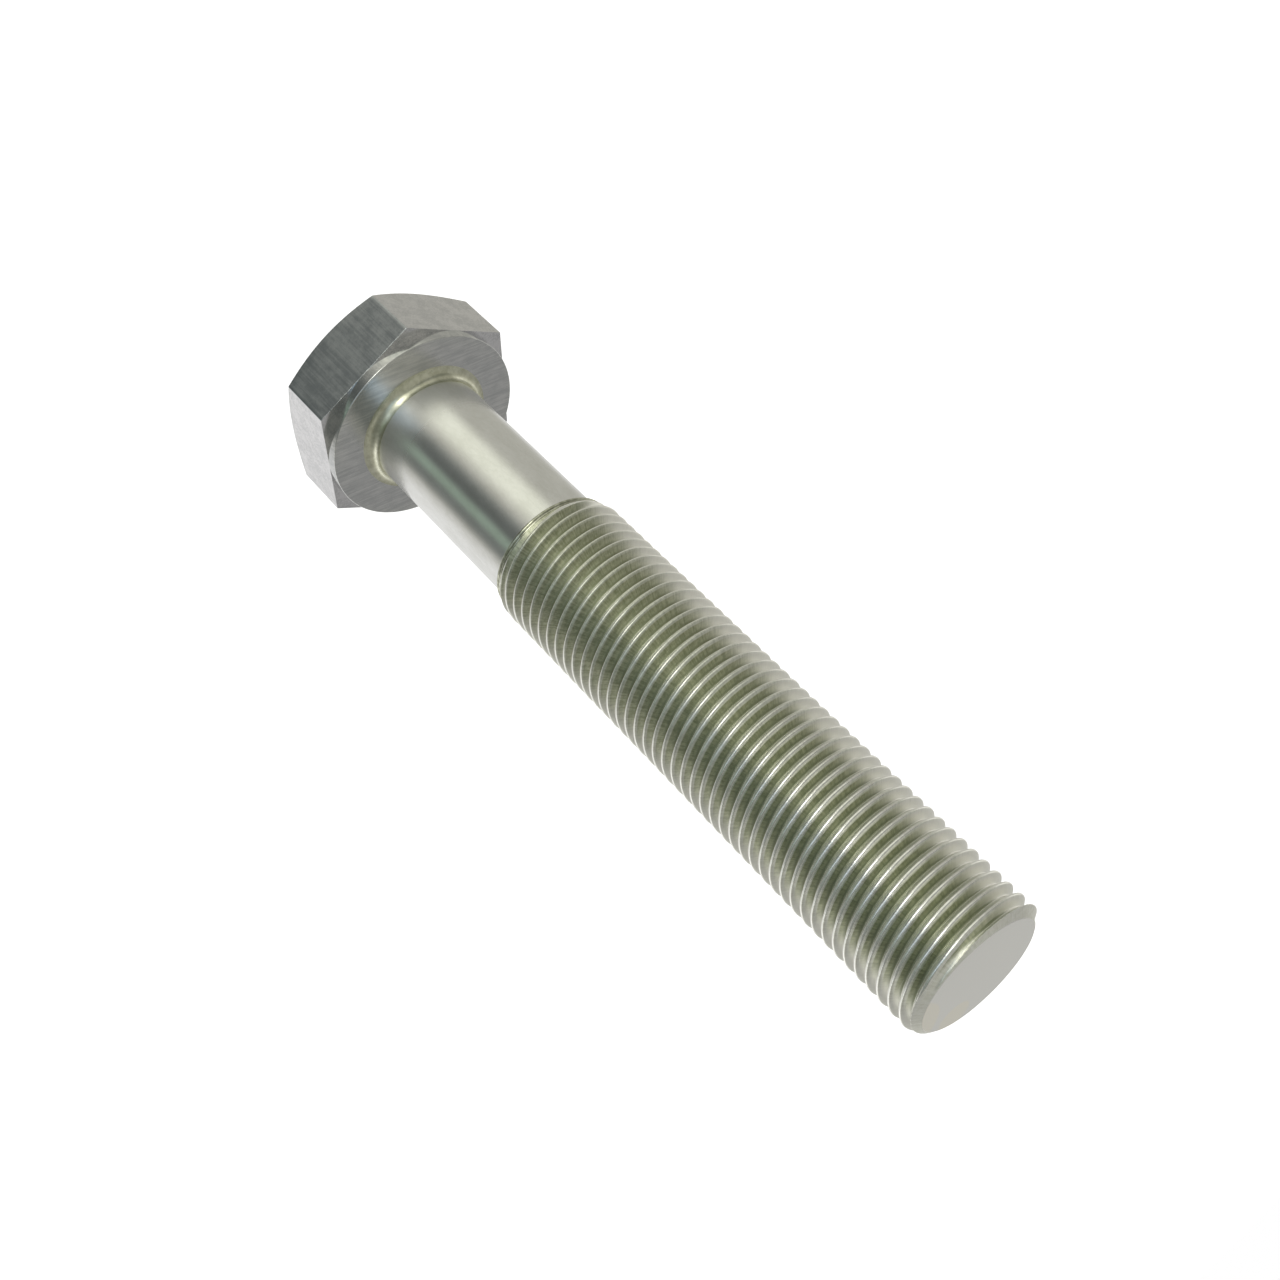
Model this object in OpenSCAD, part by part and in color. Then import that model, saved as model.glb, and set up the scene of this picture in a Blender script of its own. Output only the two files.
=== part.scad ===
// Hex bolt, 16 mm thread, 90 mm long, with a waisted shank and a washer face.
// The axis is Z. The origin is the centre of the bearing face: the head lies below it
// and the thread points up. One forging, divided where a fastener drawing divides it.

/* [Head] */
// Width across flats
flats_w = 24; // [22:0.5:27]
// Head height with the washer face
head_h = 10; // [8:0.5:12]
// Diameter of the flat circle on top of the head
top_d = 21.8; // [20:0.1:22]
// Angle of the top chamfer from the top face
top_chamfer_deg = 30; // [15:1:30]
// Diameter of the washer face
washer_d = 24; // [22:0.5:24]
// Height of the washer face
washer_h = 1.3; // [0.4:0.1:1.5]

/* [Shank] */
// Diameter of the plain shank
shank_d = 13.8; // [13:0.1:14]
// Length from the bearing face to the end of the plain shank
shank_l = 25; // [20:1:40]
// Radius of the fillet under the head
neck_r = 1.3; // [0.8:0.1:1.6]

/* [Thread] */
// Length from the bearing face to the end of the bolt
bolt_l = 90; // [70:5:100]
// Major diameter of the thread
thread_d = 16; // [15.8:0.1:16]
// Distance between neighbouring crests
pitch = 1.475; // [1.4:0.025:1.5]
// Crests that start side by side; each climbs this many crest distances in a turn
starts = 3; // [1:1:4]
// Diameter of the shoulder's cone where the grooves begin
shoulder_d = 15.2; // [14.6:0.1:15.4]
// Length of the shoulder between shank and thread
shoulder_l = 1; // [0.8:0.1:1.2]
// Diameter of the flat end face
end_d = 13.8; // [13.4:0.1:13.9]
// Angle of the end chamfer from the end face
end_chamfer_deg = 32; // [30:1:45]
// Height of the first crest on the +X side
first_crest_z = 25.8; // [25:0.1:28]
// Flat facets in one turn of the thread
facets_per_turn = 24; // [16:4:28]

/* [Hidden] */
$fn = 96;
corner_r = flats_w / 2 / cos(30);
top_chamfer_h = (corner_r - top_d / 2) * tan(top_chamfer_deg);

// ISO metric profile, measured from the height of its sharp triangle
sharp_h = pitch * sqrt(3) / 2;
thread_depth = 17 / 24 * sharp_h;
crest_w = pitch / 8;
flank_w = thread_depth * tan(30);
root_w = pitch - crest_w - 2 * flank_w;
thread_r = thread_d / 2;
root_r = thread_r - thread_depth;

thread_z = shank_l + shoulder_l;
shoulder_r = shoulder_d / 2;
end_r = end_d / 2;

// How fast the crests rise out of the shoulder, radius by height
crest_rise = 0.5;
// The point is the last stretch of the thread, with the end chamfer
point_l = 3;
point_z = bolt_l - point_l;
// Height on +X where the root below the first crest begins
base_z = first_crest_z - root_w - flank_w - crest_w / 2;
// Radius where the neck fillet runs out into the bearing face
foot_r = shank_d / 2 + neck_r;

// The hexagon, with its top corners turned off by a cone
module hex_head() {
    color("lightgray")
    intersection() {
        translate([0, 0, -head_h])
            cylinder(r = corner_r, h = head_h - washer_h, $fn = 6);
        rotate_extrude()
            polygon([
                [0, -head_h],
                [top_d / 2, -head_h],
                [corner_r, -head_h + top_chamfer_h],
                [corner_r + 1, -head_h + top_chamfer_h],
                [corner_r + 1, 0],
                [0, 0]
            ]);
    }
}

// The round boss that bears on the work, a ring round the neck
module washer_face() {
    color("darkgray")
    rotate_extrude()
        translate([foot_r, -washer_h])
            square([washer_d / 2 - foot_r, washer_h]);
}

// The neck: from the hexagon through the washer face, then a concave fillet to the shank
module neck_fillet() {
    color("darkkhaki")
    rotate_extrude()
        difference() {
            translate([0, -washer_h])
                square([foot_r, washer_h + neck_r]);
            translate([foot_r, neck_r])
                circle(r = neck_r);
        }
}

// The plain, waisted shank
module shank() {
    color("silver")
    translate([0, 0, neck_r])
        cylinder(d = shank_d, h = shank_l - neck_r);
}

// The cone from the shank up to the rolled thread
module thread_shoulder() {
    color("darkkhaki")
    translate([0, 0, shank_l])
        cylinder(d1 = shank_d, d2 = shoulder_d, h = shoulder_l);
}

// One crest distance of the thread as [height, radius], beginning with the root
PROFILE = [
    [0, root_r],
    [root_w, root_r],
    [root_w + flank_w, thread_r],
    [root_w + flank_w + crest_w, thread_r],
    [pitch, root_r]
];
CORNERS = len(PROFILE) - 1;

// Largest radius at a height, under the shoulder's rise and the cone of the end chamfer
function crest_limit(z) = min(
    thread_r,
    shoulder_r + (z - thread_z) * crest_rise,
    end_r + (bolt_l - z) / tan(end_chamfer_deg)
);

// Smallest radius at a height; the grooves deepen over the first crest distance
function groove_limit(z) = min(
    max(root_r, shoulder_r - (shoulder_r - root_r) * (z - thread_z) / pitch),
    crest_limit(z)
);

function thread_radius(z, profile_r) = max(min(profile_r, crest_limit(z)), groove_limit(z));

// The thread is drawn in columns of corners, one column to each azimuth step
function column_z(step) = base_z + starts * pitch * step / facets_per_turn;

// Radius of the profile where a column crosses a flat cut
function cut_radius(step, z) =
    let (up = z - column_z(step))
    thread_radius(z, lookup(up - pitch * floor(up / pitch), PROFILE));

function on_circle(r, step, z) =
    let (a = 360 * step / facets_per_turn)
    [r * cos(a), r * sin(a), z];

// The right-hand thread between two flat cuts. Corners that would lie past a cut are
// drawn together on the cut's outline.
module thread_between(low_z, high_z) {
    turn = facets_per_turn;
    climb = starts * CORNERS;
    rows = CORNERS * (ceil((high_z - low_z) / pitch) + starts + 2);
    // Row numbers count from well below the lower cut on every column
    shift = CORNERS * (floor((low_z - base_z) / pitch) - starts);
    function row_z(step, row) =
        column_z(step) + pitch * floor((row + shift) / CORNERS) + PROFILE[row % CORNERS][0];

    corners = [
        for (s = [0 : turn - 1]) for (row = [0 : rows - 1])
            let (z = max(low_z, min(row_z(s, row), high_z)))
            on_circle(thread_radius(z, PROFILE[row % CORNERS][1]), s, z)
    ];
    low_outline = [for (s = [0 : turn - 1]) on_circle(cut_radius(s, low_z), s, low_z)];
    high_outline = [for (s = [0 : turn - 1]) on_circle(cut_radius(s, high_z), s, high_z)];
    low_index = len(corners);
    high_index = low_index + turn;
    low_centre = high_index + turn;
    high_centre = low_centre + 1;

    // After a full turn a column meets the first one again, a few crests higher up
    function at(s, row) =
        s == turn ? at(0, row + climb)
        : row_z(s, row) <= low_z ? low_index + s
        : row_z(s, row) >= high_z ? high_index + s
        : s * rows + row;

    sides = [
        for (s = [0 : turn - 1]) for (row = [0 : rows - 2])
            each [
                [at(s, row), at(s, row + 1), at(s + 1, row + 1)],
                [at(s, row), at(s + 1, row + 1), at(s + 1, row)]
            ]
    ];
    caps = [
        for (s = [0 : turn - 1])
            let (next = (s + 1) % turn)
            each [
                [low_index + s, low_index + next, low_centre],
                [high_index + next, high_index + s, high_centre]
            ]
    ];
    polyhedron(
        points = concat(corners, low_outline, high_outline, [[0, 0, low_z], [0, 0, high_z]]),
        faces = [
            for (f = concat(sides, caps))
                if (f[0] != f[1] && f[1] != f[2] && f[2] != f[0]) f
        ],
        convexity = 10
    );
}

module threaded_length() {
    color("olive")
    thread_between(thread_z, point_z);
}

// The chamfered end, where the thread runs out
module point() {
    color("darkgray")
    thread_between(point_z, bolt_l);
}

hex_head();
washer_face();
neck_fillet();
shank();
thread_shoulder();
threaded_length();
point();
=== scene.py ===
"""The looks of the hex bolt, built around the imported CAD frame.

Lengths are millimetres until a mesh, a shader, the stage or the camera needs metres.
The bolt's axis is Z, its bearing face is at zero and its head is below.
"""

import math

import bmesh
import bpy
from mathutils import Matrix, Vector


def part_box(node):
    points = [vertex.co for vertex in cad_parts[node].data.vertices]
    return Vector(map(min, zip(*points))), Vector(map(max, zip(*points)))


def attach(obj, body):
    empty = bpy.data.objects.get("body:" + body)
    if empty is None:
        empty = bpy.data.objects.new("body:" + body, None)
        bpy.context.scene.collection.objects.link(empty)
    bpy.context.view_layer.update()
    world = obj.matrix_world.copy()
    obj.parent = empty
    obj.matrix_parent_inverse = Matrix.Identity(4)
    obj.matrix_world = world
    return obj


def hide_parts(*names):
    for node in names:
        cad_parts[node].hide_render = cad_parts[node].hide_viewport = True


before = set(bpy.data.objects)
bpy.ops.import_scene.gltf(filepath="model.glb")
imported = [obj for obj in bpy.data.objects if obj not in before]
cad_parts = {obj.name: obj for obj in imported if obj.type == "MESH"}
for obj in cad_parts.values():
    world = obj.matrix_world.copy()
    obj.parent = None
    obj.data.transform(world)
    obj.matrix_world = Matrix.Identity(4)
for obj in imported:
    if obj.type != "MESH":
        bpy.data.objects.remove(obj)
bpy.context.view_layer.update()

MM = 0.001


def cad(node):
    """Lowest and highest corner of a CAD node, in millimetres."""
    low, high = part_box(node)
    return low / MM, high / MM


# ---------------------------------------------------------------- sizes from the frame

HEAD_TOP_Z = cad("hex_head")[0].z
CORNER_R = cad("hex_head")[1].x
APOTHEM = cad("hex_head")[1].y
HEX_UNDERSIDE_Z = cad("hex_head")[1].z
WASHER_R = cad("washer_face")[1].x
NECK_R = cad("neck_fillet")[1].x
SHANK_R = cad("shank")[1].x
FILLET_R = NECK_R - SHANK_R
SHOULDER_R = cad("thread_shoulder")[1].x
SHOULDER_Z = cad("thread_shoulder")[0].z
THREAD_Z = cad("thread_shoulder")[1].z
THREAD_R = cad("threaded_length")[1].x
POINT_Z = cad("point")[0].z
END_Z = cad("point")[1].z

# ---------------------------------------------------------------- sizes of the details

# As in the CAD: top chamfer, thread, the crests' rise out of the shoulder, end chamfer
TOP_R = 10.9
TOP_CHAMFER = math.radians(30)
PITCH = 1.475
STARTS = 3
FIRST_CREST_Z = 25.8
FLANK = math.radians(30)
THREAD_DEPTH = 17 / 24 * PITCH * math.sqrt(3) / 2
ROOT_R = THREAD_R - THREAD_DEPTH
CREST_RISE = 0.5
END_R = 6.9
END_SLOPE = 1 / math.tan(math.radians(32))

# Finer than the CAD: rounded roots and crests, broken edges, steps round the axis
ROOT_ROUND = 0.1
CREST_FLAT = 0.25
CREST_ROUND = 0.2
HEX_CORNER_ROUND = 0.05
HEX_EDGE = 0.02
WASHER_EDGE = 0.1
ROUND_STEPS = 192


# ---------------------------------------------------------------- mesh helpers

def make_piece(name, verts, faces, node, smooth_angle=40):
    """A closed mesh piece that stands for one CAD node."""
    mesh = bpy.data.meshes.new(name)
    mesh.from_pydata([Vector(v) * MM for v in verts], [], faces)
    mesh.validate()
    bm = bmesh.new()
    bm.from_mesh(mesh)
    bmesh.ops.recalc_face_normals(bm, faces=bm.faces)
    bm.to_mesh(mesh)
    bm.free()
    mesh.shade_smooth()
    mesh.set_sharp_from_angle(angle=math.radians(smooth_angle))
    piece = bpy.data.objects.new(name, mesh)
    bpy.context.scene.collection.objects.link(piece)
    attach(piece, "root")
    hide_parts(node)
    return piece


def add_face(faces, corners):
    """Adds a face; corners that fall together count once, and a sliver is left out."""
    face = list(dict.fromkeys(corners))
    if len(face) > 2:
        faces.append(face)


def arc(centre_x, centre_y, radius, start, end, steps):
    """Points of a circular arc in a plane, its angles in degrees from the first axis."""
    points = []
    for i in range(steps + 1):
        angle = math.radians(start + (end - start) * i / steps)
        points.append((centre_x + radius * math.cos(angle), centre_y + radius * math.sin(angle)))
    return points


def revolve(profile, steps=ROUND_STEPS):
    """Vertices and faces of a solid of revolution. A point on the axis becomes a pole."""
    verts, faces, rings = [], [], []
    for radius, z in profile:
        if radius < 1e-6:
            rings.append([len(verts)] * steps)
            verts.append((0, 0, z))
            continue
        rings.append(list(range(len(verts), len(verts) + steps)))
        for i in range(steps):
            angle = 2 * math.pi * i / steps
            verts.append((radius * math.cos(angle), radius * math.sin(angle), z))
    for low, high in zip(rings, rings[1:] + rings[:1]):
        for i in range(steps):
            j = (i + 1) % steps
            add_face(faces, (low[i], low[j], high[j], high[i]))
    return verts, faces


# ---------------------------------------------------------------- head

def hexagon_outline(flat_steps, corner_steps):
    """The hexagon's outline as (x, y), with its corners rounded."""
    centre_r = CORNER_R - HEX_CORNER_ROUND / math.cos(math.radians(30))
    bends = []
    for middle in range(0, 360, 60):
        x = centre_r * math.cos(math.radians(middle))
        y = centre_r * math.sin(math.radians(middle))
        bends.append(arc(x, y, HEX_CORNER_ROUND, middle - 30, middle + 30, corner_steps))
    outline = []
    for bend, next_bend in zip(bends, bends[1:] + bends[:1]):
        (x0, y0), (x1, y1) = bend[-1], next_bend[0]
        outline += bend
        for i in range(1, flat_steps):
            outline.append((x0 + (x1 - x0) * i / flat_steps, y0 + (y1 - y0) * i / flat_steps))
    return outline


def build_hex_head():
    """The hexagon as rings of corners, from the middle of its underside to its top."""
    outline = hexagon_outline(flat_steps=40, corner_steps=3)
    count = len(outline)
    slope = math.tan(TOP_CHAMFER)
    underside_edge_z = HEX_UNDERSIDE_Z - HEX_EDGE
    verts, faces, rings = [], [], []

    def add_ring(place):
        """Place turns a corner's distance from the axis into its radius and height."""
        rings.append(list(range(len(verts), len(verts) + count)))
        for x, y in outline:
            rho = math.hypot(x, y)
            radius, z = place(rho)
            verts.append((x / rho * radius, y / rho * radius, z))

    def chamfer_z(rho):
        return HEAD_TOP_Z + max(rho - TOP_R, 0) * slope

    def on_side(rho, share):
        return rho, underside_edge_z * (1 - share) + (chamfer_z(rho) + HEX_EDGE) * share

    def on_chamfer(rho, share):
        radius = (rho - HEX_EDGE) * (1 - share) + TOP_R * share
        return radius, chamfer_z(radius)

    add_ring(lambda rho: (rho * 0.5, HEX_UNDERSIDE_Z))
    add_ring(lambda rho: (rho - HEX_EDGE, HEX_UNDERSIDE_Z))
    add_ring(lambda rho: (rho - HEX_EDGE * 0.3, HEX_UNDERSIDE_Z - HEX_EDGE * 0.3))
    for share in (0, 0.25, 0.5, 0.75, 1):
        add_ring(lambda rho: on_side(rho, share))
    add_ring(lambda rho: (rho - HEX_EDGE * 0.12, chamfer_z(rho) + HEX_EDGE * 0.25))
    for share in (0, 0.5, 0.93):
        add_ring(lambda rho: on_chamfer(rho, share))
    add_ring(lambda rho: (TOP_R - 0.15, HEAD_TOP_Z))
    add_ring(lambda rho: (TOP_R * 0.5, HEAD_TOP_Z))

    for low, high in zip(rings, rings[1:]):
        for i in range(count):
            j = (i + 1) % count
            add_face(faces, (low[i], low[j], high[j], high[i]))
    for end_ring, z in ((rings[0], HEX_UNDERSIDE_Z), (rings[-1], HEAD_TOP_Z)):
        centre = len(verts)
        verts.append((0, 0, z))
        for i in range(count):
            add_face(faces, (end_ring[i], end_ring[(i + 1) % count], centre))
    return make_piece("head", verts, faces, "hex_head", 20)


def build_washer_face():
    profile = [(NECK_R, HEX_UNDERSIDE_Z), (WASHER_R, HEX_UNDERSIDE_Z)]
    profile += arc(WASHER_R - WASHER_EDGE, -WASHER_EDGE, WASHER_EDGE, 0, 90, 5)
    profile += [(NECK_R + 0.2, 0), (NECK_R, 0)]
    verts, faces = revolve(profile)
    return make_piece("bearing_ring", verts, faces, "washer_face")


def build_neck():
    profile = [(0, HEX_UNDERSIDE_Z), (NECK_R, HEX_UNDERSIDE_Z)]
    profile += arc(NECK_R, FILLET_R, FILLET_R, -90, -180, 24)
    profile += [(0, FILLET_R)]
    verts, faces = revolve(profile)
    return make_piece("neck", verts, faces, "neck_fillet")


def build_shank():
    levels = 24
    rise = (SHOULDER_Z - FILLET_R) / levels
    profile = [(0, FILLET_R)]
    profile += [(SHANK_R, FILLET_R + rise * i) for i in range(levels + 1)]
    profile += [(0, SHOULDER_Z)]
    verts, faces = revolve(profile)
    return make_piece("plain_shank", verts, faces, "shank")


def build_shoulder():
    """A short step, a rounded rim with a fine groove behind it, then up to the thread."""
    rim_r = SHOULDER_R - 0.14
    rim_round = 0.22
    bead_r = rim_r + 0.04
    bead_round = 0.16
    profile = [(0, SHOULDER_Z), (SHANK_R, SHOULDER_Z), (SHANK_R + 0.25, SHOULDER_Z + 0.08)]
    profile += arc(rim_r - rim_round, SHOULDER_Z + 0.32, rim_round, -70, 60, 12)
    profile += [(rim_r - 0.07, SHOULDER_Z + 0.56)]
    profile += arc(bead_r - bead_round, SHOULDER_Z + 0.72, bead_round, -50, 40, 8)
    profile += [(SHOULDER_R, THREAD_Z), (0, THREAD_Z)]
    verts, faces = revolve(profile)
    return make_piece("shoulder", verts, faces, "thread_shoulder")


# ---------------------------------------------------------------- thread

def crest_profile(flank_steps):
    """One spacing of the thread as (height, depth below the crest), from root to root."""
    root_centre = THREAD_DEPTH - ROOT_ROUND
    rise = [
        (
            ROOT_ROUND * math.sin(math.radians(angle)),
            root_centre + ROOT_ROUND * math.cos(math.radians(angle)),
        )
        for angle in (0, 20, 40, 60)
    ]
    flank_end = PITCH / 2 - CREST_FLAT / 2
    crest_centre = flank_end + CREST_ROUND * math.tan(FLANK)
    bottom = rise[-1][1]
    top = CREST_ROUND * (1 - math.sin(FLANK))
    for i in range(1, flank_steps):
        depth = bottom + (top - bottom) * i / flank_steps
        rise.append((flank_end - depth * math.tan(FLANK), depth))
    rise += [
        (
            crest_centre - CREST_ROUND * math.cos(math.radians(angle)),
            CREST_ROUND * (1 - math.sin(math.radians(angle))),
        )
        for angle in (30, 45, 60, 75, 90)
    ]
    fall = [(PITCH - height, depth) for height, depth in reversed(rise[1:])]
    return rise + fall


def depth_at(profile, height):
    """Depth below the crest at a height above a root, by straight lines between corners."""
    height %= PITCH
    corners = profile + [(PITCH, profile[0][1])]
    for (z0, d0), (z1, d1) in zip(corners, corners[1:]):
        if z0 <= height <= z1 and z1 > z0:
            return d0 + (d1 - d0) * (height - z0) / (z1 - z0)
    return corners[-1][1]


def thread_radius(z, depth):
    """Radius at a height: the profile, kept inside the shoulder's and the point's cones."""
    shoulder_cone = SHOULDER_R + (z - THREAD_Z) * CREST_RISE
    end_cone = END_R + (END_Z - z) * END_SLOPE
    crest = min(THREAD_R, shoulder_cone, end_cone)
    run_in = SHOULDER_R - (SHOULDER_R - ROOT_R) * (z - THREAD_Z) / PITCH
    groove = min(max(ROOT_R, run_in), crest)
    return max(min(THREAD_R - depth, crest), groove)


def thread_mesh(low_z, high_z, turn_steps, flank_steps):
    """The right-hand thread between two flat cuts, one column of corners per azimuth.

    Corners past a cut are drawn together on the cut's outline.
    """
    profile = crest_profile(flank_steps)
    corners = len(profile)
    first_spacing = math.floor((low_z - FIRST_CREST_Z + PITCH / 2) / PITCH) - STARTS
    rows = corners * (math.ceil((high_z - low_z) / PITCH) + STARTS + 2)
    verts, faces, columns, low_ring, high_ring = [], [], [], [], []

    def add_corner(angle, z, depth):
        radius = thread_radius(z, depth)
        verts.append((radius * math.cos(angle), radius * math.sin(angle), z))
        return len(verts) - 1

    for i in range(turn_steps):
        angle = 2 * math.pi * i / turn_steps
        root_z = FIRST_CREST_Z - PITCH / 2 + STARTS * PITCH * i / turn_steps
        low_ring.append(add_corner(angle, low_z, depth_at(profile, low_z - root_z)))
        high_ring.append(add_corner(angle, high_z, depth_at(profile, high_z - root_z)))
        column = []
        for row in range(rows):
            height, depth = profile[row % corners]
            z = root_z + (first_spacing + row // corners) * PITCH + height
            if z <= low_z:
                column.append(low_ring[i])
            elif z >= high_z:
                column.append(high_ring[i])
            else:
                column.append(add_corner(angle, z, depth))
        columns.append(column)

    # After a full turn a column meets the first one again, as many spacings up as starts
    climbed = columns[0][STARTS * corners:] + [high_ring[0]] * STARTS * corners
    for here, there in zip(columns, columns[1:] + [climbed]):
        for row in range(rows - 1):
            add_face(faces, (here[row], here[row + 1], there[row + 1], there[row]))
    side_count = len(faces)
    for ring, z in ((low_ring, low_z), (high_ring, high_z)):
        centre = len(verts)
        verts.append((0, 0, z))
        for i in range(turn_steps):
            add_face(faces, (ring[i], ring[(i + 1) % turn_steps], centre))
    return verts, faces, side_count


def build_thread_piece(name, node, low_z, high_z, turn_steps, flank_steps):
    verts, faces, side_count = thread_mesh(low_z, high_z, turn_steps, flank_steps)
    piece = make_piece(name, verts, faces, node, 50)
    for face in piece.data.polygons[side_count:]:
        face.use_smooth = False
    return piece


# ---------------------------------------------------------------- node helpers

class Nodes:
    """Short calls for building a node tree."""

    def __init__(self, tree):
        tree.nodes.clear()
        self.tree = tree

    def add(self, kind, **settings):
        node = self.tree.nodes.new(kind)
        for name, value in settings.items():
            setattr(node, name, value)
        return node

    def link(self, out, into):
        self.tree.links.new(out, into)

    def feed(self, socket, value):
        """Sets a socket to a number, a vector or a colour, or links another node to it."""
        if isinstance(value, (int, float, tuple)):
            socket.default_value = value
        else:
            self.link(value, socket)

    def math(self, operation, *values):
        node = self.add("ShaderNodeMath", operation=operation)
        for socket, value in zip(node.inputs, values):
            self.feed(socket, value)
        return node.outputs[0]

    def vector(self, operation, *values, result="Vector"):
        node = self.add("ShaderNodeVectorMath", operation=operation)
        for socket, value in zip(node.inputs, values):
            self.feed(socket, value)
        return node.outputs[result]

    def split(self, vector):
        """The x, y and z of a vector."""
        node = self.add("ShaderNodeSeparateXYZ")
        self.link(vector, node.inputs[0])
        return node.outputs

    def smooth(self, value, low, high, to_low=0.0, to_high=1.0):
        """Goes softly from to_low to to_high while the value goes from low to high."""
        node = self.add("ShaderNodeMapRange", interpolation_type="SMOOTHSTEP")
        self.link(value, node.inputs["Value"])
        node.inputs["From Min"].default_value = low
        node.inputs["From Max"].default_value = high
        node.inputs["To Min"].default_value = to_low
        node.inputs["To Max"].default_value = to_high
        return node.outputs[0]

    def mix(self, factor, a, b):
        """Colour a where the factor is 0, colour b where it is 1."""
        node = self.add("ShaderNodeMix", data_type="RGBA")
        self.link(factor, node.inputs[0])
        for socket, colour in ((node.inputs[6], a), (node.inputs[7], b)):
            self.feed(socket, (*colour, 1.0) if isinstance(colour, tuple) else colour)
        return node.outputs[2]

    def blend(self, *parts):
        """Weighted sum of grey values."""
        total = None
        for value, weight in parts:
            part = self.math("MULTIPLY", value, weight)
            total = part if total is None else self.math("ADD", total, part)
        return total

    def noise(self, vector, detail, roughness):
        node = self.add("ShaderNodeTexNoise")
        node.inputs["Scale"].default_value = 1.0
        node.inputs["Detail"].default_value = detail
        node.inputs["Roughness"].default_value = roughness
        self.link(vector, node.inputs["Vector"])
        return node.outputs["Fac"]

    def position(self):
        """Where a point is on the bolt, in metres."""
        return self.add("ShaderNodeTexCoord").outputs["Object"]

    def stretched(self, scale, turned=0):
        """Position in millimetres, turned about the axis by degrees and then scaled."""
        turn = self.add("ShaderNodeMapping", vector_type="POINT")
        turn.inputs["Rotation"].default_value = (0, 0, math.radians(turned))
        self.link(self.position(), turn.inputs["Vector"])
        size = self.add("ShaderNodeMapping", vector_type="POINT")
        size.inputs["Scale"].default_value = [s / MM for s in scale]
        self.link(turn.outputs[0], size.inputs["Vector"])
        return size.outputs[0]

    def around(self, across, along):
        """Coordinates that vary round the axis and along it, but not with the radius."""
        flat = self.vector("MULTIPLY", self.position(), (1, 1, 0))
        ring = self.vector("NORMALIZE", flat)
        wide = self.vector("MULTIPLY", ring, (THREAD_R * across, THREAD_R * across, 0))
        tall = self.vector("MULTIPLY", self.position(), (0, 0, along / MM))
        return self.vector("ADD", wide, tall)

    def radius(self):
        """Distance from the bolt's axis in millimetres."""
        flat = self.vector("MULTIPLY", self.position(), (1 / MM, 1 / MM, 0))
        return self.vector("LENGTH", flat, result="Value")

    def height(self):
        """Height above the bearing face in millimetres."""
        return self.math("DIVIDE", self.split(self.position())[2], MM)

    def sideways(self):
        """Distance in millimetres to the front or back of the axis."""
        return self.math("DIVIDE", self.math("ABSOLUTE", self.split(self.position())[1]), MM)


# ---------------------------------------------------------------- materials

# The dark and the light tone of each surface
SIDE_FLATS = ((0.64, 0.64, 0.65), (0.80, 0.79, 0.80))
# Front and back flats: painted darker and cooler than the side flats, as painted shade
SHADED_FRONT_FLATS = ((0.37, 0.395, 0.415), (0.59, 0.615, 0.63))
BEARING_FACE = ((0.54, 0.55, 0.55), (0.72, 0.72, 0.71))
NECK = ((0.54, 0.54, 0.42), (0.72, 0.72, 0.59))
PLAIN_SHANK = ((0.80, 0.80, 0.77), (0.88, 0.88, 0.86))
SHOULDER = ((0.38, 0.385, 0.30), (0.60, 0.605, 0.50))
# First and last flanks: the last are painted a little lighter, as painted light towards the end
FIRST_FLANKS = ((0.32, 0.335, 0.24), (0.54, 0.55, 0.43))
LAST_FLANKS_LIT = ((0.35, 0.37, 0.265), (0.58, 0.595, 0.46))
END_CHAMFER = ((0.84, 0.84, 0.77), (0.97, 0.97, 0.92))
# Polished crests, with a painted highlight on them
CRESTS_AND_HIGHLIGHTS = ((0.80, 0.80, 0.76), (0.94, 0.94, 0.92))

# Surfaces of one tone
# Painted shade laid in the thread's grooves
GROOVE_SHADE = (0.27, 0.29, 0.205)
# Painted sheen on the flanks where they are seen at a glancing angle
GLANCING_SHEEN = (0.97, 0.96, 0.92)
END_FACE = (0.92, 0.915, 0.915)
END_STAINS = (0.96, 0.93, 0.86)

# Yellowish stains on the end face: centre x, y and radius in millimetres
STAINS = [(-9.5, 3.5, 5.3), (-4.4, -3.2, 1.9)]


def metal(name):
    """A new metallic material, the helper for its nodes, and its shader."""
    material = bpy.data.materials.new(name)
    material.use_nodes = True
    nodes = Nodes(material.node_tree)
    out = nodes.add("ShaderNodeOutputMaterial")
    shader = nodes.add("ShaderNodeBsdfPrincipled")
    shader.inputs["Metallic"].default_value = 1.0
    nodes.link(shader.outputs[0], out.inputs["Surface"])
    return material, nodes, shader


def paint(nodes, shader, tone, low, high, tones):
    """Base colour from the dark to the light tone as the grey value goes from low to high."""
    nodes.link(nodes.mix(nodes.smooth(tone, low, high), *tones), shader.inputs["Base Color"])


def relief(nodes, shader, height, strength, distance=0.01):
    """Fine relief from a grey value, its distance in millimetres."""
    bump = nodes.add("ShaderNodeBump")
    bump.inputs["Strength"].default_value = strength
    bump.inputs["Distance"].default_value = distance * MM
    nodes.link(height, bump.inputs["Height"])
    nodes.link(bump.outputs[0], shader.inputs["Normal"])


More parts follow.
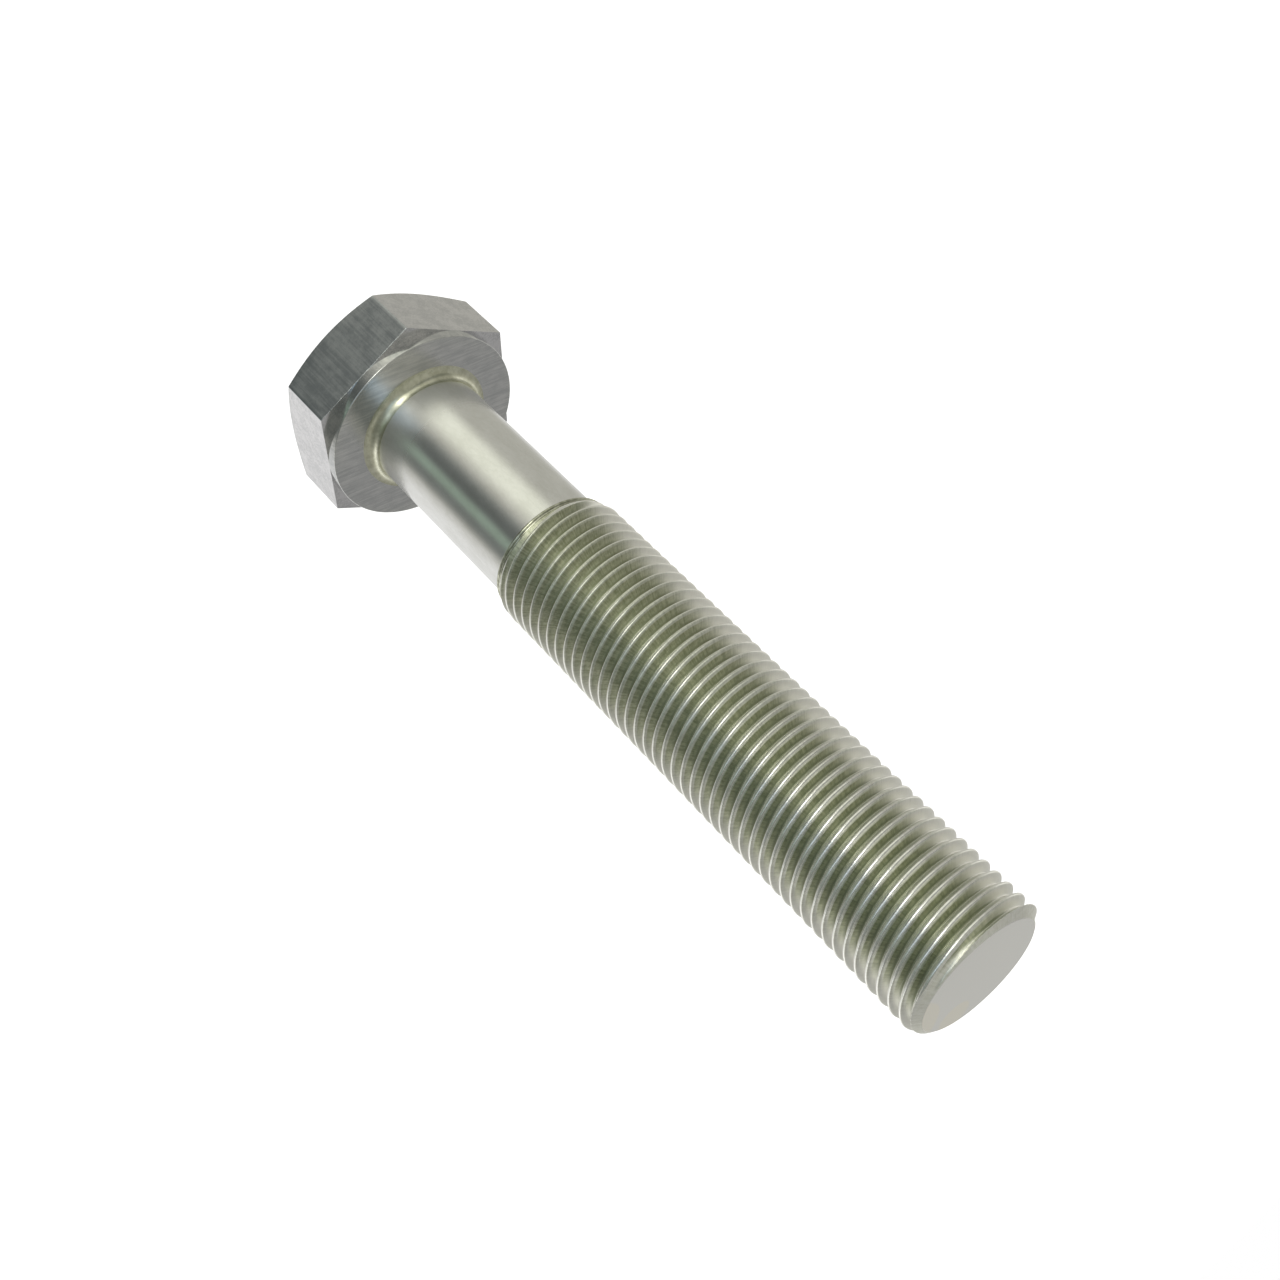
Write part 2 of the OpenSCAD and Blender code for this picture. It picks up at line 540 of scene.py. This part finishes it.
def head_metal():
    """Drawn hexagon: clouded flats, with lengthwise draw marks on the front and back ones, which
    are also painted darker and cooler as shade.
    """
    material, nodes, shader = metal("head_steel")
    cloud = nodes.noise(nodes.stretched((0.5, 0.5, 0.5)), 8.0, 0.75)
    grain = nodes.noise(nodes.stretched((4, 4, 4)), 3.0, 0.6)
    drawn = nodes.noise(nodes.stretched((1.8, 1.8, 0.05)), 5.0, 0.7)
    facing = nodes.smooth(nodes.sideways(), APOTHEM - 0.1, APOTHEM - 0.05)
    soft = nodes.blend((cloud, 0.7), (grain, 0.3))
    hard = nodes.blend((cloud, 0.5), (drawn, 0.5))
    change = nodes.math("MULTIPLY", facing, nodes.math("SUBTRACT", hard, soft))
    tone = nodes.math("ADD", soft, change)
    shade = nodes.smooth(tone, 0.40, 0.60)
    # The front and back flats get the darker, cooler tones: painted shade
    side = nodes.mix(shade, *SIDE_FLATS)
    front = nodes.mix(shade, *SHADED_FRONT_FLATS)
    nodes.link(nodes.mix(facing, side, front), shader.inputs["Base Color"])
    nodes.link(nodes.smooth(tone, 0.3, 0.7, 0.20, 0.14), shader.inputs["Roughness"])
    relief(nodes, shader, nodes.blend((tone, 0.7), (grain, 0.3)), 0.3)
    return material


def bearing_metal():
    """Washer face with straight grinding marks that run across it one way."""
    marks_turned = 36
    material, nodes, shader = metal("bearing_steel")
    cloud = nodes.noise(nodes.stretched((0.5, 0.5, 0.5)), 4.0, 0.6)
    marks = nodes.noise(nodes.stretched((0.12, 2.6, 1), marks_turned), 4.0, 0.7)
    fine = nodes.noise(nodes.stretched((0.4, 9, 1), marks_turned), 2.0, 0.5)
    tone = nodes.blend((cloud, 0.3), (marks, 0.5), (fine, 0.2))
    paint(nodes, shader, tone, 0.40, 0.62, BEARING_FACE)
    nodes.link(nodes.smooth(tone, 0.3, 0.7, 0.22, 0.15), shader.inputs["Roughness"])
    relief(nodes, shader, nodes.blend((marks, 0.6), (fine, 0.4)), 0.35)
    return material


def neck_metal():
    """The fillet keeps the yellow tint of the plating."""
    material, nodes, shader = metal("neck_steel")
    cloud = nodes.noise(nodes.stretched((0.9, 0.9, 0.9)), 5.0, 0.7)
    paint(nodes, shader, cloud, 0.35, 0.65, NECK)
    shader.inputs["Roughness"].default_value = 0.3
    relief(nodes, shader, cloud, 0.4, 0.03)
    return material


def shank_metal():
    """Satin shank, a little duller next to the head."""
    material, nodes, shader = metal("shank_steel")
    cloud = nodes.noise(nodes.stretched((0.5, 0.5, 0.25)), 5.0, 0.65)
    grain = nodes.noise(nodes.stretched((5, 5, 2)), 3.0, 0.6)
    tone = nodes.blend((cloud, 0.7), (grain, 0.3))
    paint(nodes, shader, tone, 0.35, 0.65, PLAIN_SHANK)
    nodes.link(nodes.smooth(nodes.height(), 3.0, 9.0, 0.34, 0.18), shader.inputs["Roughness"])
    relief(nodes, shader, tone, 0.25)
    return material


def shoulder_metal():
    """The step up to the thread, polished but still olive."""
    material, nodes, shader = metal("shoulder_steel")
    fleck = nodes.noise(nodes.stretched((1.5, 1.5, 1.5)), 4.0, 0.6)
    paint(nodes, shader, fleck, 0.38, 0.62, SHOULDER)
    shader.inputs["Roughness"].default_value = 0.22
    relief(nodes, shader, fleck, 0.4, 0.02)
    return material


def stain_mask(nodes):
    """One inside the stains of the end face, nothing outside."""
    edge = 0.15
    mask = None
    for x, y, size in STAINS:
        centre = (x * MM, y * MM, END_Z * MM)
        apart = nodes.vector("DISTANCE", nodes.position(), centre, result="Value")
        spot = nodes.smooth(apart, (size + edge) * MM, (size - edge) * MM)
        mask = spot if mask is None else nodes.math("MAXIMUM", mask, spot)
    return mask


def crest_and_highlight_mask(nodes, radius, along, facing):
    """One on the polished crests, with a painted highlight on them: wider and brighter towards
    the end, weaker where seen edge-on.
    """
    widened = nodes.math("ADD", radius, nodes.math("MULTIPLY", along, 0.2))
    # Painted highlight: the crest band grows wider and brighter towards the end
    highlight_toward_end = nodes.math("ADD", nodes.math("MULTIPLY", along, 0.8), 0.2)
    crest = nodes.smooth(widened, THREAD_R - 0.18, THREAD_R - 0.07)
    crest = nodes.math("MULTIPLY", crest, highlight_toward_end)
    return nodes.math("MULTIPLY", crest, nodes.smooth(facing, 0.22, 0.50, 1.0, 0.3))


def thread_metal():
    """Rolled thread: polished crests with a painted highlight, duller olive flanks with radial
    streaks; painted shade in the grooves, painted sheen where the flanks are seen at a glancing
    angle, and flanks painted a little lighter towards the end.
    """
    material, nodes, shader = metal("thread_steel")
    radius = nodes.radius()
    along = nodes.smooth(nodes.height(), THREAD_Z - 4, END_Z - 8)
    grazing = nodes.add("ShaderNodeLayerWeight")
    grazing.inputs["Blend"].default_value = 0.5
    facing = grazing.outputs["Facing"]
    crest = crest_and_highlight_mask(nodes, radius, along, facing)
    chamfer = nodes.smooth(nodes.height(), END_Z - 0.85, END_Z - 0.5)
    # Painted shade: the grooves are darkened, but not on the end chamfer
    out_of_groove_shade = nodes.smooth(radius, ROOT_R + 0.02, ROOT_R + 0.3)
    out_of_groove_shade = nodes.math("MAXIMUM", out_of_groove_shade, chamfer)
    end = nodes.smooth(nodes.height(), END_Z - 0.03, END_Z - 0.01)

    streak = nodes.noise(nodes.around(5.0, 0.15), 3.0, 0.7)
    fleck = nodes.noise(nodes.stretched((2.5, 2.5, 2.5)), 5.0, 0.7)
    shade = nodes.smooth(nodes.blend((streak, 0.5), (fleck, 0.5)), 0.38, 0.62)
    # The flanks are painted a little lighter towards the end: painted light
    first, last = nodes.mix(shade, *FIRST_FLANKS), nodes.mix(shade, *LAST_FLANKS_LIT)
    flank = nodes.mix(out_of_groove_shade, GROOVE_SHADE, nodes.mix(along, first, last))
    # Painted sheen: flanks seen at a glancing angle are painted near white, more so towards the
    # end
    seen = nodes.math("SUBTRACT", facing, nodes.math("MULTIPLY", along, 0.1))
    flank = nodes.mix(nodes.smooth(seen, 0.21, 0.44, 0.0, 0.85), flank, GLANCING_SHEEN)
    flank = nodes.mix(chamfer, flank, nodes.mix(shade, *END_CHAMFER))
    # Crests: polished metal plus a painted highlight
    colour = nodes.mix(crest, flank, nodes.mix(shade, *CRESTS_AND_HIGHLIGHTS))
    cut = nodes.mix(stain_mask(nodes), END_FACE, END_STAINS)
    nodes.link(nodes.mix(end, colour, cut), shader.inputs["Base Color"])

    worn = nodes.smooth(crest, 0.0, 1.0, 0.42, 0.25)
    faced = nodes.smooth(end, 0.0, 1.0, 1.0, 0.6)
    nodes.link(nodes.math("MULTIPLY", worn, faced), shader.inputs["Roughness"])
    height = nodes.blend((streak, 0.7), (fleck, 0.3))
    height = nodes.math("MULTIPLY", height, nodes.math("SUBTRACT", 1.0, end))
    relief(nodes, shader, height, 0.5, 0.03)
    return material


def dress(piece, material):
    piece.data.materials.clear()
    piece.data.materials.append(material)


# ---------------------------------------------------------------- studio

STAGE_R = 1.5

# Soft panels of the studio, as seen from the bolt: centre azimuth and elevation, half
# width and half height, softness of the edge, all in degrees, and the colour of the light.
# A later panel covers an earlier one.
PANELS = [
    ("white sweep behind", -123, -40, 57, 45, 24, (0.82, 0.82, 0.81)),
    ("right side sheet", -44, -2, 22, 8, 8, (1.25, 1.24, 1.19)),
    ("left side sheet", -158, -2, 33, 9, 8, (1.6, 1.6, 1.57)),
    ("grey above the sweep", -90, 42, 60, 14, 14, (0.33, 0.33, 0.33)),
    ("ceiling", 0, 90, 180, 40, 18, (0.42, 0.42, 0.38)),
    ("dim ceiling in front", 145, 42, 40, 28, 12, (0.19, 0.20, 0.18)),
    ("cream panel", 51, -36, 22, 42, 15, (0.86, 0.87, 0.76)),
    ("dark camera side", 129, -34, 38, 46, 12, (0.17, 0.183, 0.173)),
    ("darkest corner", 114, -34, 10, 46, 9, (0.11, 0.118, 0.113)),
    ("green card", 134, -34, 8, 46, 7, (0.27, 0.34, 0.28)),
    ("dim wall above the cream", 24, 27, 44, 8, 7, (0.15, 0.16, 0.15)),
    ("window", 100, 43, 10, 8, 12, (0.85, 1.15, 1.45)),
    ("lamp", 84, 2, 9, 22, 6, (3.7, 3.7, 3.4)),
    ("low window", 114, 6, 10, 18, 7, (0.75, 0.86, 0.92)),
]
ROOM = (0.46, 0.455, 0.41)


def build_world():
    """The panels, mixed one after the other over the room's own light."""
    world = bpy.data.worlds.new("studio")
    bpy.context.scene.world = world
    world.use_nodes = True
    nodes = Nodes(world.node_tree)
    x, y, z = nodes.split(nodes.add("ShaderNodeTexCoord").outputs["Generated"])
    degrees = 180 / math.pi
    azimuth = nodes.math("MULTIPLY", nodes.math("ARCTAN2", y, x), degrees)
    elevation = nodes.math("MULTIPLY", nodes.math("ARCSINE", z), degrees)
    colour = ROOM
    for _, panel_azimuth, panel_elevation, half_width, half_height, soft, light in PANELS:
        off = nodes.math("SUBTRACT", azimuth, panel_azimuth)
        off = nodes.math("ABSOLUTE", nodes.math("WRAP", off, 180, -180))
        rise = nodes.math("ABSOLUTE", nodes.math("SUBTRACT", elevation, panel_elevation))
        across = nodes.smooth(off, half_width + soft, half_width - soft)
        up = nodes.smooth(rise, half_height + soft, half_height - soft)
        colour = nodes.mix(nodes.math("MULTIPLY", across, up), colour, light)
    background = nodes.add("ShaderNodeBackground")
    nodes.link(colour, background.inputs["Color"])
    out = nodes.add("ShaderNodeOutputWorld")
    nodes.link(background.outputs[0], out.inputs["Surface"])


def pale_material(name, diffuse, glow):
    material = bpy.data.materials.new(name)
    material.use_nodes = True
    shader = material.node_tree.nodes["Principled BSDF"]
    shader.inputs["Base Color"].default_value = (diffuse, diffuse, diffuse, 1)
    shader.inputs["Roughness"].default_value = 0.9
    shader.inputs["Specular IOR Level"].default_value = 0.0
    shader.inputs["Emission Color"].default_value = (1, 1, 1, 1)
    shader.inputs["Emission Strength"].default_value = glow
    return material


def hide_from_light(stage_object):
    """The camera sees it, but the bolt doesn't mirror it."""
    stage_object.visible_glossy = False
    stage_object.visible_diffuse = False
    stage_object.visible_shadow = False


def build_stage():
    """A pale floor just under the head's top face, and a white wall all round."""
    floor_z = (HEAD_TOP_Z - 0.05) * MM
    bpy.ops.mesh.primitive_circle_add(
        vertices=96, radius=STAGE_R, fill_type="NGON", location=(0, 0, floor_z)
    )
    floor = bpy.context.object
    floor.name = "floor"
    dress(floor, pale_material("pale_floor", 0.8, 0.92))
    bpy.ops.mesh.primitive_uv_sphere_add(segments=64, ring_count=32, radius=STAGE_R)
    wall = bpy.context.object
    wall.name = "backdrop"
    dress(wall, pale_material("pale_wall", 0.0, 1.0))
    for stage_object in (floor, wall):
        hide_from_light(stage_object)


def build_camera():
    """The camera looks at the middle of the bolt, turned about its line of sight."""
    azimuth = math.radians(86.99)
    elevation = math.radians(30.42)
    roll = math.radians(134.72)
    distance = 184.26
    target = Vector((0, 0, 40.44))
    out = Vector((
        math.cos(elevation) * math.cos(azimuth),
        math.cos(elevation) * math.sin(azimuth),
        math.sin(elevation),
    ))
    upright = out.to_track_quat("Z", "Y").to_matrix().to_4x4()
    camera_data = bpy.data.cameras.new("camera")
    camera_data.lens = 50
    camera_data.sensor_width = 36
    camera_data.clip_start = 0.01
    camera_data.clip_end = 10
    camera = bpy.data.objects.new("camera", camera_data)
    bpy.context.scene.collection.objects.link(camera)
    camera.matrix_world = (
        Matrix.Translation((target + out * distance) * MM)
        @ upright
        @ Matrix.Rotation(roll, 4, "Z")
    )
    bpy.context.scene.camera = camera


# ---------------------------------------------------------------- the bolt

head = build_hex_head()
bearing_ring = build_washer_face()
neck = build_neck()
shank = build_shank()
shoulder = build_shoulder()
thread = build_thread_piece("thread", "threaded_length", THREAD_Z, POINT_Z, 120, 3)
point = build_thread_piece("thread_point", "point", POINT_Z, END_Z, 240, 12)

dress(head, head_metal())
dress(bearing_ring, bearing_metal())
dress(neck, neck_metal())
dress(shank, shank_metal())
dress(shoulder, shoulder_metal())
thread_steel = thread_metal()
for threaded in (thread, point):
    dress(threaded, thread_steel)

build_world()
build_stage()
build_camera()
bpy.context.scene.view_settings.view_transform = "Standard"
